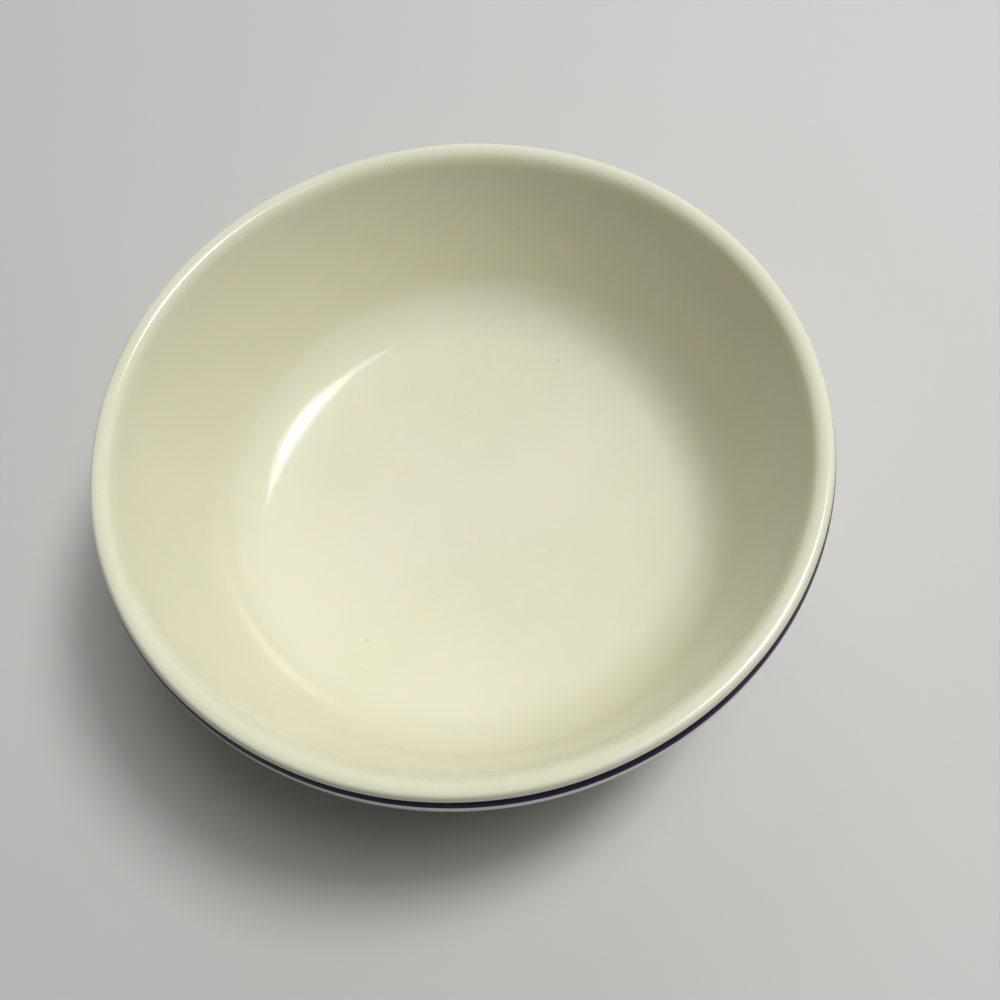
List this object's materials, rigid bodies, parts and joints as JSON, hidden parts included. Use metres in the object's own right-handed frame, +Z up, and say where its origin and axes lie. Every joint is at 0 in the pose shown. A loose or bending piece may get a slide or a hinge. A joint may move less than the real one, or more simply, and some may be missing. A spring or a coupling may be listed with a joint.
{
  "type": "cereal bowl",
  "caption": "Round ceramic cereal bowl with a rounded lip, a narrow dark band under the lip, a glossy glazed inside and a bare foot ring; holds food and stands on a table.",
  "frame": {"origin": "middle of the plane that the foot ring stands on", "axes": "+Z up along the bowl's axis of symmetry; X and Y lie in the plane of the table, and the bowl looks alike from every side"},
  "size_m": [0.16, 0.16, 0.06],
  "materials": {
    "fired_clay": "bare buff stoneware, matt and slightly gritty",
    "cream_glaze": "glossy cream glaze with a few fine specks",
    "navy_glaze": "glossy navy band, brushed on by hand"
  },
  "bodies": {
    "root": {"clay_body": "fired_clay", "inner_glaze": "cream_glaze", "outer_glaze": "cream_glaze", "underside_glaze": "cream_glaze", "blue_band": "navy_glaze"}
  },
  "joints": []
}
